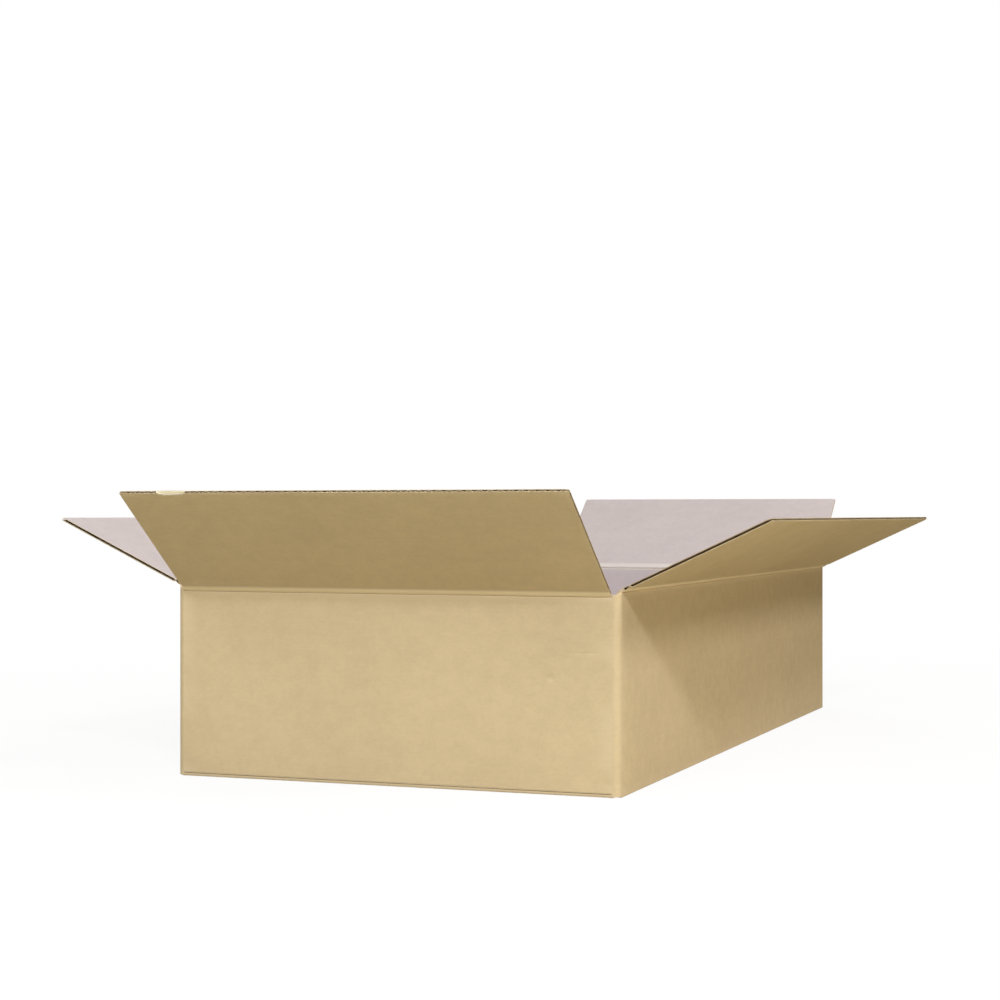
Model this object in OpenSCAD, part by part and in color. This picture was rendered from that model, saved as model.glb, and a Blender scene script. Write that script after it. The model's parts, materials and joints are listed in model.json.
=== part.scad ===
// Open slotted carton, folded from one sheet of single-wall corrugated board.
// X runs across the short walls, Y along the long walls, Z up from the floor.
// The origin is on the floor, under the middle of the box.

/* [Box] */
// Outside width, along X
box_w = 300; // [240:1:420]
// Outside length, along Y
box_l = 600; // [420:1:900]
// Height of the long walls' top creases above the floor
crease_h = 124; // [80:1:260]
// Thickness of the corrugated board
board = 2.5; // [1.5:0.1:3]

/* [Folds] */
// Outer radius of the four upright folds
corner_r = 5; // [4:0.5:10]
// Outer radius of the folds along the foot of the walls
foot_r = 3.5; // [3.2:0.1:4.5]
// Height of the lower ends of the upright folds above the floor
corner_foot = 0.6; // [0.3:0.1:2]
// How far the slots are cut below the short walls' top edge
slot_drop = 1; // [0.2:0.1:4]

/* [Top flaps] */
// Depth of the flaps, from crease to free edge
flap_depth = 100; // [50:1:115]
// How far each flap stops short of the box's outer faces, at both ends
flap_inset = 5; // [4:0.5:12]
// How much more the back flap is cut away at the glued corner
joint_cut = 50; // [0:1:80]
// Lean of the flaps on the short walls, outwards from upright
short_lean = 52; // [20:1:100]
// Lean of the flaps on the long walls, outwards from upright
long_lean = 65; // [20:1:100]
// Depth of the score line pressed into both faces of a flap beside its crease
score_depth = 0.3; // [0.1:0.05:0.5]
// Width of that score line
score_w = 1.4; // [0.6:0.1:2]
// Distance from the crease to the middle of the score line
score_pitch = 3.6; // [2.5:0.1:5]

/* [Bottom flaps] */
// Gap between the two outer bottom flaps, along the middle
seam = 1; // [0.4:0.1:4]
// Depth of the inner bottom flaps, from the short walls' outer faces
inner_depth = 149; // [80:1:200]

/* [Glued joint] */
// Width of the tab that joins the sheet's two ends
tab_w = 35; // [20:1:60]
// How far the tab stops short of the wall's top edge and of the bottom
tab_margin = 4; // [2:0.5:12]
// How much each end of the tab slopes in towards its free edge
tab_slope = 9; // [2:1:20]
// Setback of the back wall's cut end from the left wall's outer face
joint_gap = 1.5; // [0.5:0.5:3.5]
// Thickness of the glue between the tab and the back wall
glue = 0.2; // [0.1:0.05:0.5]
// Bare margin around the glue, inside the tab's outline
glue_margin = 5; // [3:0.5:8]

/* [Clearances] */
// Gap between a flap's rounded root and the edge of its wall
crease_gap = 0.25; // [0.15:0.05:0.6]
// Gap between the flaps where a long one closes over a short one
stack_gap = 0.3; // [0.2:0.1:1]
// Furthest lean that the bevel on the walls' edges leaves room for
full_lean = 135; // [110:1:140]

/* [Hidden] */

kraft = "#c8ab78";
$fn = 48;

half_w = box_w / 2;
half_l = box_l / 2;

// The short flaps close first, so their creases lie one board below the long ones.
long_crease = crease_h;
short_crease = crease_h - board - stack_gap;

// A flap turns about its own rounded root, in the plane of its wall's outer face.
root_r = board / 2;
edge_drop = root_r + crease_gap;
long_top = long_crease - edge_drop;
short_top = short_crease - edge_drop;

// The bevel follows the lower face of a flap at its furthest lean, one gap away.
bevel_w = edge_drop * (1 - sin(full_lean)) / -cos(full_lean);
bevel_h = edge_drop / sin(full_lean) - edge_drop;

// The long flaps close the bottom from outside, with the short flaps laid on them.
outer_level = 0;
inner_level = board;
outer_depth = half_w - seam / 2;

// The tab turns off the left wall's fold and lies inside the back wall.
tab_face = half_l - board - glue;
tab_start = -half_w + corner_r;
tab_low = inner_level + board + tab_margin;
tab_high = short_top - tab_margin;

// Straight stretches of the walls, as the distance from the middle to each end.
long_reach = half_l - corner_r;
short_reach = half_w - corner_r;
joint_reach = tab_face - corner_r;
cut_reach = half_w - joint_gap;

fold_top = short_top - slot_drop;

// Runs a section along the side that faces the given turn. The section is drawn with
// the wall's outer face on its vertical axis and the inside to the left.
module side(turn, distance, start, end) {
  rotate(turn)
    translate([distance, end, 0])
      rotate([90, 0, 0])
        linear_extrude(end - start)
          children();
}

// Quarter of a ring, one board thick, in the quadrant that begins at the given angle.
module quarter_ring(outer_r, start) {
  rotate(start)
    intersection() {
      difference() {
        circle(r = outer_r);
        circle(r = outer_r - board);
      }
      square(outer_r);
    }
}

// Upright part of a wall, with the crushed bevel along its top edge.
module upright_section(bottom, top) {
  polygon([
    [0, bottom],
    [0, top - bevel_h],
    [-bevel_w, top],
    [-board, top],
    [-board, bottom]
  ]);
}

// A wall, the fold at its foot and its bottom flap.
module wall_section(level, top, depth) {
  upright_section(level + foot_r, top);
  translate([-foot_r, level + foot_r])
    quarter_ring(foot_r, 270);
  translate([-depth, level])
    square([depth - foot_r, board]);
}

// Upright fold between two walls, centred on x and y.
module upright_fold(x, y, start) {
  translate([x, y, corner_foot])
    linear_extrude(fold_top - corner_foot)
      quarter_ring(corner_r, start);
}

module walls() {
  side(0, half_w, -long_reach, long_reach)
    wall_section(outer_level, long_top, outer_depth);
  side(180, half_w, -joint_reach, long_reach)
    wall_section(outer_level, long_top, outer_depth);
  side(270, half_l, -short_reach, short_reach)
    wall_section(inner_level, short_top, inner_depth);
  side(90, half_l, -short_reach, short_reach)
    wall_section(inner_level, short_top, inner_depth);
}

module folds() {
  upright_fold(short_reach, -long_reach, 270);
  upright_fold(short_reach, long_reach, 0);
  upright_fold(-short_reach, -long_reach, 180);
  upright_fold(-short_reach, joint_reach, 90);
}

// The back wall runs on to its cut end, and the tab behind it is glued to it.
module glued_joint() {
  side(90, half_l, short_reach, cut_reach)
    upright_section(inner_level + foot_r, fold_top);
  translate([tab_start, tab_face, 0])
    rotate([90, 0, 0])
      linear_extrude(board)
        polygon([
          [0, tab_low],
          [tab_w, tab_low + tab_slope],
          [tab_w, tab_high - tab_slope],
          [0, tab_high]
        ]);
  translate([tab_start + glue_margin, tab_face, tab_low + tab_slope])
    cube([tab_w - 2 * glue_margin, glue, tab_high - tab_low - 2 * tab_slope]);
}

// Section of a flap standing upright on its crease, scored on both faces.
module flap_section() {
  difference() {
    union() {
      circle(r = root_r);
      translate([-root_r, 0])
        square([board, flap_depth]);
    }
    for (face = [-1, 1])
      polygon([
        [face * root_r, score_pitch - score_w / 2],
        [face * (root_r - score_depth), score_pitch],
        [face * root_r, score_pitch + score_w / 2],
        [face * board, score_pitch + score_w / 2],
        [face * board, score_pitch - score_w / 2]
      ]);
  }
}

// A flap on the side that faces the given turn, leaning outwards about its crease.
module flap(turn, distance, crease, lean, start, end) {
  color(kraft)
    rotate(turn)
      translate([distance, end, crease])
        rotate([0, lean, 0])
          rotate([90, 0, 0])
            linear_extrude(end - start)
              flap_section();
}

module box_body() {
  color(kraft)
    union() {
      walls();
      folds();
      glued_joint();
    }
}

module front_flap() {
  flap(270, half_l, short_crease, short_lean,
       -half_w + flap_inset, half_w - flap_inset);
}

module back_flap() {
  flap(90, half_l, short_crease, short_lean,
       -half_w + flap_inset, half_w - flap_inset - joint_cut);
}

module left_flap() {
  flap(180, half_w, long_crease, long_lean,
       -half_l + flap_inset, half_l - flap_inset);
}

module right_flap() {
  flap(0, half_w, long_crease, long_lean,
       -half_l + flap_inset, half_l - flap_inset);
}

box_body();
front_flap();
back_flap();
left_flap();
right_flap();
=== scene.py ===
"""Looks of an open slotted carton of kraft corrugated board.

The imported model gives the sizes, the creases and the bodies. Each part of the
sheet is rebuilt here as real board: an outer liner, an inner liner and a wavy
medium between them that shows wherever the sheet is cut.
"""

from __future__ import annotations

import json
import logging
import math
from dataclasses import dataclass, field
from enum import Flag, IntEnum, auto

import bmesh
import bpy
import numpy as np
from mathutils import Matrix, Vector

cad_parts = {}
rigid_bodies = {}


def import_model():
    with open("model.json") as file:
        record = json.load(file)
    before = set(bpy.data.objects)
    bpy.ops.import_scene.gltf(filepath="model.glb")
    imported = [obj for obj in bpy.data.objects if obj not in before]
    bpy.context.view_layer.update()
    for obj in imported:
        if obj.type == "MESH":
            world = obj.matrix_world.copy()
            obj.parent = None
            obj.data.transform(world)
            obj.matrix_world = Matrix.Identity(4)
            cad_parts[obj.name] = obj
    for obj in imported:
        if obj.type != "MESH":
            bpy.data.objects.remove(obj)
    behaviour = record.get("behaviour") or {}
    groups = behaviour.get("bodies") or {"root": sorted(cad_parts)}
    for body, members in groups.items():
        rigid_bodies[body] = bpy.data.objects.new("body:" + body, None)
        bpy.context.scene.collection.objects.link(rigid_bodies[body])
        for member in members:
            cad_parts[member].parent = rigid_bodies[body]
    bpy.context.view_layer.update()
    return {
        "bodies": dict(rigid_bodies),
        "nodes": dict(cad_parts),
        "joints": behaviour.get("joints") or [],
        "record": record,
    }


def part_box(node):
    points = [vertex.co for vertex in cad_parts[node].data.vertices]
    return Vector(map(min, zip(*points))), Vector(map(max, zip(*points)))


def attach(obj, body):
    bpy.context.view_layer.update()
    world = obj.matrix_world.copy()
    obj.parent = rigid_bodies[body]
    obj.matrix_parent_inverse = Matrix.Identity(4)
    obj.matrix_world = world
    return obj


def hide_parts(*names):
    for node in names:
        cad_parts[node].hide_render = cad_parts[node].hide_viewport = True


log = logging.getLogger("carton")

MM = 0.001
# Point attribute of real rubbing, and of painted highlight at the flap roots and the walls' top edges.
WEAR_AND_HIGHLIGHT = "wear_and_highlight"
SHEET_UV = "sheet"
WELD = 2e-6
SHARP_DEGREES = 32.0

Array = np.ndarray
Socket = bpy.types.NodeSocket
Node = bpy.types.Node
Spot = tuple[float, float]
Paint = tuple[float, float, float, float]

END_GAP = 0.2 * MM
UP = np.array([0.0, 0.0, 1.0])
EAST = np.array([1.0, 0.0, 0.0])
NORTH = np.array([0.0, 1.0, 0.0])


class Finish(IntEnum):
    """Which face of the board a surface is, as its material slot."""

    KRAFT = 0
    LINING = 1
    MEDIUM = 2
    CUT = 3
    PLY = 4


class Rim(Flag):
    """Edges of a grid that are cut, where the layer's thickness shows."""

    NONE = 0
    FIRST_ROW = auto()
    LAST_ROW = auto()
    FIRST_COLUMN = auto()
    LAST_COLUMN = auto()
    ROWS = FIRST_ROW | LAST_ROW
    COLUMNS = FIRST_COLUMN | LAST_COLUMN
    ALL = ROWS | COLUMNS


@dataclass(frozen=True)
class Board:
    """Single-wall corrugated board, in metres.

    The flutes run up the walls and out along the flaps, so an edge parallel to a
    crease shows the wave, and an edge across a crease shows the last open flute.
    """

    thick: float
    liner: float = 0.32 * MM
    medium: float = 0.24 * MM
    pitch: float = 6.3 * MM
    crush: float = 0.22 * MM
    crush_reach: float = 1.8 * MM
    samples: int = 9

    def press(self, distance: Array) -> Array:
        """How far the knife pressed each face in, at a distance from the cut edge."""
        return fading(self.crush, distance, self.crush_reach)

    def wave(self, along: Array) -> Array:
        """The medium's height between the liners, from -1 to 1: cos(2 pi along / pitch)."""
        return np.cos(2.0 * math.pi * along / self.pitch)


def stack(*parts: Array | float) -> Array:
    """Sets numbers of one shape side by side, as points or sheet coordinates."""
    return np.stack(np.broadcast_arrays(*parts), axis=-1)


def fading(strength: float, distance: Array, reach: float) -> Array:
    """A Gaussian that dies away with distance: strength * exp(-(distance / reach)^2)."""
    return strength * np.exp(-((distance / reach) ** 2))


def arc(centre: Spot, radius: float, first: float, last: float, count: int) -> Array:
    """Points on a circle: centre + radius * (cos a, sin a), with a in degrees.

    Args:
        centre: Centre of the circle.
        radius: Its radius.
        first: Angle of the first point.
        last: Angle of the last point.
        count: How many steps the arc has.

    Returns:
        (count + 1, 2) points.
    """
    angle = np.radians(np.linspace(first, last, count + 1))
    return np.array(centre) + radius * stack(np.cos(angle), np.sin(angle))


def join(*runs: Array) -> Array:
    """Chains runs of points, without the doubles where they meet."""
    points = np.concatenate(runs)
    keep = np.ones(len(points), bool)
    keep[1:] = np.linalg.norm(np.diff(points, axis=0), axis=1) > 1e-7
    return points[keep]


def path_normals(points: Array) -> Array:
    """Unit normals to the right of the direction of travel.

    Each is the mean direction of the two neighbouring steps, turned a quarter.
    """
    step = np.diff(points, axis=0)
    step /= np.linalg.norm(step, axis=1, keepdims=True)
    mean = np.concatenate([step[:1], step[:-1] + step[1:], step[-1:]])
    mean /= np.linalg.norm(mean, axis=1, keepdims=True)
    return stack(mean[:, 1], -mean[:, 0])


def path_length(points: Array) -> Array:
    """Distance travelled at each point of a line."""
    return np.concatenate([[0.0], np.cumsum(np.linalg.norm(np.diff(points, axis=0), axis=1))])


def near_edges(start: float, end: float, step: float, extra: Array | None = None) -> Array:
    """Places from start to end, close together at both ends where the board is cut.

    Args:
        start: First place.
        end: Last place.
        step: Spacing away from the ends.
        extra: More places to include.

    Returns:
        Sorted places, both ends included.
    """
    fine = np.array([0.0, 0.5, 1.1, 1.9, 3.0, 5.0]) * MM
    count = max(2, int(round((end - start - 2 * 5.0 * MM) / step)))
    middle = np.linspace(start + 5.0 * MM, end - 5.0 * MM, count + 1)
    parts = [start + fine, middle, end - fine]
    if extra is not None:
        parts.append(extra)
    places = np.unique(np.round(np.concatenate(parts), 7))
    keep = np.concatenate([[True], np.diff(places) > 0.2 * MM])
    return places[keep]


def surface_normals(points: Array) -> Array:
    """Unit normals of a grid: the cross product of its two directions of change."""
    across = np.gradient(points, axis=0)
    along = np.gradient(points, axis=1)
    normal = np.cross(across, along)
    return normal / np.maximum(np.linalg.norm(normal, axis=-1, keepdims=True), 1e-12)


class MeshPile:
    """Grids of points gathered into one mesh, with finish, pattern and wear."""

    def __init__(self) -> None:
        """Starts with nothing in it."""
        self.points: list[Array] = []
        self.faces: list[Array] = []
        self.slots: list[Array] = []
        self.sheet: list[Array] = []
        self.wear_and_highlight: list[Array] = []
        self.count = 0

    def grid(
        self,
        points: Array,
        finish: Array | int,
        sheet: Array,
        wear_and_highlight: Array | float,
        outward: Array,
    ) -> None:
        """Adds a grid of quads.

        Args:
            points: (n, m, 3) places.
            finish: One finish, or (n - 1, m - 1) of them.
            sheet: (n, m, 2) coordinates on the flat sheet, in metres.
            wear_and_highlight: One value, or (n, m) of them.
            outward: Direction that the faces should look in, one or (n, m, 3) of them.
        """
        n, m = points.shape[:2]
        index = np.arange(n * m).reshape(n, m) + self.count
        cells = np.stack([index[:-1, :-1], index[1:, :-1], index[1:, 1:], index[:-1, 1:]], axis=-1)
        across = points[1:, :-1] - points[:-1, :-1]
        along = points[:-1, 1:] - points[:-1, :-1]
        away = np.broadcast_to(outward, points.shape)[:-1, :-1]
        if np.median((np.cross(across, along) * away).sum(axis=-1)) < 0:
            cells = cells[..., ::-1]
        slots = np.broadcast_to(np.asarray(finish, int), (n - 1, m - 1))
        self.points.append(points.reshape(-1, 3))
        self.sheet.append(np.broadcast_to(sheet, (n, m, 2)).reshape(-1, 2))
        self.wear_and_highlight.append(np.broadcast_to(np.asarray(wear_and_highlight, float), (n, m)).reshape(-1))
        self.faces.append(cells.reshape(-1, 4))
        self.slots.append(slots.reshape(-1))
        self.count += n * m

    def layer(
        self,
        points: Array,
        normals: Array,
        thick: float,
        finish: Array | int,
        sheet: Array,
        wear_and_highlight: Array | float = 0.0,
        back: Array | int = Finish.CUT,
        rims: Rim = Rim.ALL,
    ) -> None:
        """Adds a thin layer of paper: its face, its back and its cut rims.

        The back is the face moved by thick against the normals.

        Args:
            points: (n, m, 3) face.
            normals: (n, m, 3) unit normals of the face.
            thick: Thickness of the layer.
            finish: Finish of the face.
            sheet: (n, m, 2) coordinates on the flat sheet.
            wear_and_highlight: Wear of the face, with painted highlight along the creases.
            back: Finish of the back and rims.
            rims: Edges that are cut.
        """
        behind = points - normals * thick
        self.grid(points, finish, sheet, wear_and_highlight, normals)
        self.grid(behind, back, sheet, 0.0, -normals)
        every = slice(None)
        edges = (
            (Rim.FIRST_ROW, (0, every), (1, every)),
            (Rim.LAST_ROW, (-1, every), (-2, every)),
            (Rim.FIRST_COLUMN, (every, 0), (every, 1)),
            (Rim.LAST_COLUMN, (every, -1), (every, -2)),
        )
        for rim, edge, inner in edges:
            if rim not in rims:
                continue
            strip = np.stack([points[edge], behind[edge]], axis=1)
            away = np.repeat((points[edge] - points[inner])[:, None], 2, axis=1)
            plan = np.repeat(sheet[edge][:, None], 2, axis=1)
            self.grid(strip, Finish.CUT, plan, 0.5, away)

    def build(self, name: str, node: str, body: str, materials: list[bpy.types.Material]) -> bpy.types.Object:
        """Makes a piece, welded, smooth over its bends and sharp at its cuts.

        Args:
            name: Name of the piece.
            node: CAD node that it replaces.
            body: CAD body that it rides on.
            materials: Materials in the order of Finish.

        Returns:
            The new object, at the origin.
        """
        points = np.concatenate(self.points)
        faces = np.concatenate(self.faces)
        mesh = bpy.data.meshes.new(name)
        mesh.from_pydata(points.tolist(), [], faces.tolist())
        mesh.polygons.foreach_set("material_index", np.concatenate(self.slots).astype(np.int32))
        layer = mesh.uv_layers.new(name=SHEET_UV)
        layer.data.foreach_set("uv", np.concatenate(self.sheet)[faces.ravel()].astype(np.float32).ravel())
        # Per point: real rubbing, and painted highlight at the flap roots and the walls' top edges.
        wear_and_highlight_layer = mesh.attributes.new(WEAR_AND_HIGHLIGHT, "FLOAT", "POINT")
        wear_and_highlight_layer.data.foreach_set("value", np.concatenate(self.wear_and_highlight).astype(np.float32))
        work = bmesh.new()
        work.from_mesh(mesh)
        bmesh.ops.remove_doubles(work, verts=work.verts, dist=WELD)
        work.to_mesh(mesh)
        work.free()
        for material in materials:
            mesh.materials.append(material)
        mesh.polygons.foreach_set("use_smooth", np.ones(len(mesh.polygons), bool))
        mesh.set_sharp_from_angle(angle=math.radians(SHARP_DEGREES))
        mesh.update()
        obj = bpy.data.objects.new(name, mesh)
        bpy.context.collection.objects.link(obj)
        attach(obj, body)
        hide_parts(node)
        log.info("%s: %d faces", name, len(mesh.polygons))
        return obj


@dataclass(frozen=True)
class Side:
    """One side of the carton: the direction it faces and where its outer face is.

    Attributes:
        turn: Degrees from +X, anticlockwise seen from above.
        reach: Distance of the outer face from the middle of the box.
        offset: Where the side's middle is on the flat sheet, for the pattern.
    """

    turn: float
    reach: float
    offset: float

    @property
    def outward(self) -> Array:
        """Unit vector out of the side."""
        turn = math.radians(self.turn)
        return np.array([math.cos(turn), math.sin(turn), 0.0])

    @property
    def along(self) -> Array:
        """Unit vector along the side, to the left of outward."""
        turn = math.radians(self.turn)
        return np.array([-math.sin(turn), math.cos(turn), 0.0])

    def place(self, out: Array, up: Array, along: Array) -> Array:
        """Carries a grid along the side: outward * (reach + out) + up * z + along * w.

        Args:
            out: (n, m) distances outwards from the wall's outer face.
            up: (n, m) heights.
            along: (n, m) positions along the side.

        Returns:
            (n, m, 3) points.
        """
        level = (out + self.reach)[..., None] * self.outward + along[..., None] * self.along
        return level + up[..., None] * UP

    def aim(self, normals: Array, count: int) -> Array:
        """Turns (n, 2) section normals into (n, count, 3) directions."""
        flat = np.repeat(normals[:, None, :], count, axis=1)
        return flat[..., :1] * self.outward + flat[..., 1:] * UP


class Tree:
    """Short words for building a node tree, of a material or of the world."""

    def __init__(self, owner: bpy.types.Material | bpy.types.World) -> None:
        """Starts with an empty tree."""
        owner.use_nodes = True
        self.tree = owner.node_tree
        self.tree.nodes.clear()

    def feed(self, socket: Socket, value: Socket | float | tuple[float, ...]) -> None:
        """Gives a socket its value: a link, a number or a colour."""
        if isinstance(value, bpy.types.NodeSocket):
            self.tree.links.new(value, socket)
        else:
            socket.default_value = value

    def node(
        self, kind: str, inputs: dict[str | int, Socket | float | tuple[float, ...]] | None = None
    ) -> Node:
        """Adds a node and feeds its inputs.

        Args:
            kind: Kind of node, without the word that all kinds begin with.
            inputs: Values or links by the name or the number of the input.

        Returns:
            The new node.
        """
        node = self.tree.nodes.new(f"ShaderNode{kind}")
        for key, value in (inputs or {}).items():
            self.feed(node.inputs[key], value)
        return node

    def mix_shaders(self, share: Socket, first: Socket, second: Socket) -> Socket:
        """Mixes two shaders by a share from 0 to 1."""
        return self.node("MixShader", {0: share, 1: first, 2: second}).outputs[0]


class Recipe(Tree):
    """A material made out of nodes around one Principled shader."""

    def __init__(self, name: str) -> None:
        """Starts a material with its shader and output."""
        self.material = bpy.data.materials.new(name)
        super().__init__(self.material)
        self.shader = self.node("BsdfPrincipled")
        self.output = self.node("OutputMaterial", {"Surface": self.shader.outputs["BSDF"]})

    def finish(self, inputs: dict[str, Socket | float]) -> bpy.types.Material:
        """Feeds the shader's inputs and hands over the material."""
        for name, value in inputs.items():
            self.feed(self.shader.inputs[name], value)
        return self.material

    def sheet(self) -> Socket:
        """Place on the flat sheet in millimetres, from the piece's own UV map."""
        node = self.node("UVMap")
        node.uv_map = SHEET_UV
        scale = self.node("VectorMath", {0: node.outputs["UV"]})
        scale.operation = "SCALE"
        scale.inputs["Scale"].default_value = 1.0 / MM
        return scale.outputs["Vector"]

    def wear_and_highlight(self) -> Socket:
        """How rubbed or stretched the surface is, with painted highlight along the creases, from 0 to 1, from
        the piece's attribute.
        """
        node = self.node("Attribute")
        node.attribute_name = WEAR_AND_HIGHLIGHT
        return node.outputs["Fac"]

    def noise(self, place: Socket, size: Spot, detail: float, rough: float, seed: float) -> Socket:
        """Cloudy noise from 0 to 1 whose blobs are about size millimetres across and up.

        Args:
            place: Place on the sheet in millimetres.
            size: Width and height of a blob.
            detail: How many finer octaves are added.
            rough: How strong the finer octaves are.
            seed: Shift of the pattern, so that two noises differ.

        Returns:
            Noise socket.
        """
        scale = (1.0 / size[0], 1.0 / size[1], 1.0)
        shift = (seed * 3.7, seed * 1.9, seed * 7.3)
        mapping = self.node("Mapping", {"Vector": place, "Scale": scale, "Location": shift})
        vector = mapping.outputs["Vector"]
        node = self.node("TexNoise", {"Vector": vector, "Scale": 1.0, "Detail": detail, "Roughness": rough})
        return node.outputs["Fac"]

    def math(self, kind: str, a: Socket | float, b: Socket | float = 0.0) -> Socket:
        """One step of arithmetic on two values."""
        node = self.node("Math", {0: a, 1: b})
        node.operation = kind
        return node.outputs[0]

    def times(self, a: Socket | float, b: Socket | float) -> Socket:
        """Two values multiplied."""
        return self.math("MULTIPLY", a, b)

    def total(self, parts: list[tuple[Socket, float]]) -> Socket:
        """Sum of values, each times its weight."""
        terms = [self.times(value, weight) for value, weight in parts]
        for index in range(1, len(terms)):
            terms[index] = self.math("ADD", terms[index - 1], terms[index])
        return terms[-1]

    def spread(
        self, value: Socket, low: float = 0.3, high: float = 0.7, to_low: float = 0.0, to_high: float = 1.0
    ) -> Socket:
        """Maps low..high smoothly to to_low..to_high, and holds it there outside."""
        ends = {"From Min": low, "From Max": high, "To Min": to_low, "To Max": to_high}
        node = self.node("MapRange", ends | {"Value": value})
        node.interpolation_type = "SMOOTHSTEP"
        return node.outputs["Result"]

    def blend(self, share: Socket | float, a: Socket | Paint, b: Socket | Paint) -> Socket:
        """Mixes two colours by a share from 0 to 1."""
        node = self.node("Mix")
        node.data_type = "RGBA"
        for name, value in (("Factor", share), ("A", a), ("B", b)):
            self.feed(node.inputs[name], value)
        return node.outputs["Result"]

    def spot(self, place: Socket, mark: Mark) -> Socket:
        """A soft oval mark: its strength at the centre, 0 from one size away."""
        mapping = self.node("Mapping")
        mapping.vector_type = "TEXTURE"
        inputs = {"Vector": place, "Location": (*mark.centre, 0.0), "Scale": (*mark.size, 1.0)}
        for name, value in inputs.items():
            self.feed(mapping.inputs[name], value)
        length = self.node("VectorMath", {0: mapping.outputs["Vector"]})
        length.operation = "LENGTH"
        return self.times(self.spread(length.outputs["Value"], 0.0, 1.0, 1.0, 0.0), mark.strength)

    def bump(self, height: Socket, distance: float, strength: float) -> Socket:
        """Normal tilted by a height pattern, whose depth in metres is the distance."""
        inputs = {"Height": height, "Distance": distance, "Strength": strength}
        return self.node("Bump", inputs).outputs["Normal"]


def srgb(red: int, green: int, blue: int) -> Paint:
    """A colour written as 0..255 as Blender's linear colour: ((c + 0.055) / 1.055)^2.4."""
    linear = ((np.array([red, green, blue]) / 255.0 + 0.055) / 1.055) ** 2.4
    return (*linear.tolist(), 1.0)


@dataclass(frozen=True)
class Mark:
    """A handling mark at a place on the sheet, in millimetres."""

    centre: Spot
    size: Spot
    strength: float


@dataclass(frozen=True)
class LinerFinish:
    """Finish of one outer face of the board: paper with fibres, clouds, rubbing and a painted highlight along
    the creases.

    Attributes:
        name: Name of the material.
        base: Usual colour.
        deep: Colour of the darker clouds.
        pale: Colour where the paper is rubbed.
        stretched_and_highlight: Colour along the flap roots and the walls' top edges, partly the paler
            stretched paper and partly a painted highlight.
        speck: Colour of the stray fibres.
        ghost: How strongly the flutes show through, from 0 to 1.
        marks: Rubbed places.
        dents: Small dents.
    """

    name: str
    base: Paint
    deep: Paint
    pale: Paint
    stretched_and_highlight: Paint
    speck: Paint
    ghost: float = 1.0
    marks: tuple[Mark, ...] = ()
    dents: tuple[Mark, ...] = ()

    def build(self, board: Board) -> bpy.types.Material:
        """Builds the paper.

        Colour is clouds of two sizes, streaked along the machine direction, with
        sparse fibres, pale where rubbed and paler along the creases, where the paleness
        is partly stretched paper and partly a painted highlight. Bump is the flutes
        under the liner, the fibres and the dents.

        Args:
            board: The board, for its flute pitch.

        Returns:
            The material.
        """
        make = Recipe(self.name)
        place, wear_and_highlight = make.sheet(), make.wear_and_highlight()
        clouds = make.noise(place, (70.0, 60.0), 2.0, 0.5, 1.0)
        mottle = make.noise(place, (10.0, 8.0), 4.0, 0.62, 2.0)
        streak = make.noise(place, (60.0, 1.6), 3.0, 0.55, 3.0)
        grain = make.noise(place, (2.6, 1.8), 3.0, 0.65, 4.0)
        fibre = make.noise(place, (3.4, 0.45), 2.0, 0.7, 5.0)
        layers = ((clouds, 0.22), (mottle, 0.36), (streak, 0.08), (grain, 0.26))
        depth = make.total([(make.spread(noise), weight) for noise, weight in layers])
        colour = make.blend(make.times(depth, 0.80), self.base, self.deep)
        colour = make.blend(make.spread(fibre, 0.66, 0.76, 0.0, 0.55), colour, self.speck)
        # Pale where rubbed; along the flap roots and the walls' top edges this paleness is partly painted
        # highlight.
        rub_and_highlight = make.times(wear_and_highlight, make.spread(mottle, 0.25, 0.75, 0.45, 1.0))
        for mark in self.marks:
            touch = make.times(make.spot(place, mark), make.spread(grain, 0.35, 0.65, 0.35, 1.0))
            rub_and_highlight = make.math("MAXIMUM", rub_and_highlight, touch)
        colour = make.blend(rub_and_highlight, colour, self.pale)
        # Painted highlight: only the flap roots and the walls' top edges pass 0.45, and there the paper turns
        # paler still, partly stretched paper and partly painted highlight.
        colour = make.blend(make.spread(wear_and_highlight, 0.45, 0.95, 0.0, 0.85), colour, self.stretched_and_highlight)
        split = make.node("SeparateXYZ", {"Vector": place})
        turn = make.times(split.outputs["X"], 2.0 * math.pi * MM / board.pitch)
        flute = make.times(make.math("COSINE", turn), make.spread(clouds, to_low=0.25))
        height = make.total([(flute, 0.06 * self.ghost), (mottle, 0.30), (grain, 0.14), (fibre, 0.10)])
        for dent in self.dents:
            height = make.math("SUBTRACT", height, make.spot(place, dent))
        return make.finish({
            "Base Color": colour,
            "Roughness": make.spread(mottle, 0.2, 0.8, 0.78, 0.9),
            "Specular IOR Level": 0.22,
            "Normal": make.bump(height, 0.35 * MM, 0.55),
        })


@dataclass(frozen=True)
class CoreFinish:
    """Finish of the medium and of the cut paper edges: rough, brown and fibrous.

    Attributes:
        name: Name of the material.
        base: Usual colour.
        deep: Colour in the darker patches.
    """

    name: str
    base: Paint
    deep: Paint

    def build(self) -> bpy.types.Material:
        """Builds the paper: two colours mixed by blotches, with a fibrous bump.

        Returns:
            The material.
        """
        make = Recipe(self.name)
        place = make.sheet()
        blotch = make.noise(place, (9.0, 4.0), 3.0, 0.6, 6.0)
        fuzz = make.noise(place, (0.8, 0.5), 3.0, 0.7, 7.0)
        share = make.total([(blotch, 0.6), (fuzz, 0.5)])
        return make.finish({
            "Base Color": make.blend(make.spread(share, high=0.8), self.base, self.deep),
            "Roughness": make.spread(fuzz, 0.2, 0.8, 0.85, 0.97),
            "Specular IOR Level": 0.15,
            "Normal": make.bump(fuzz, 0.3 * MM, 0.7),
        })


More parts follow.
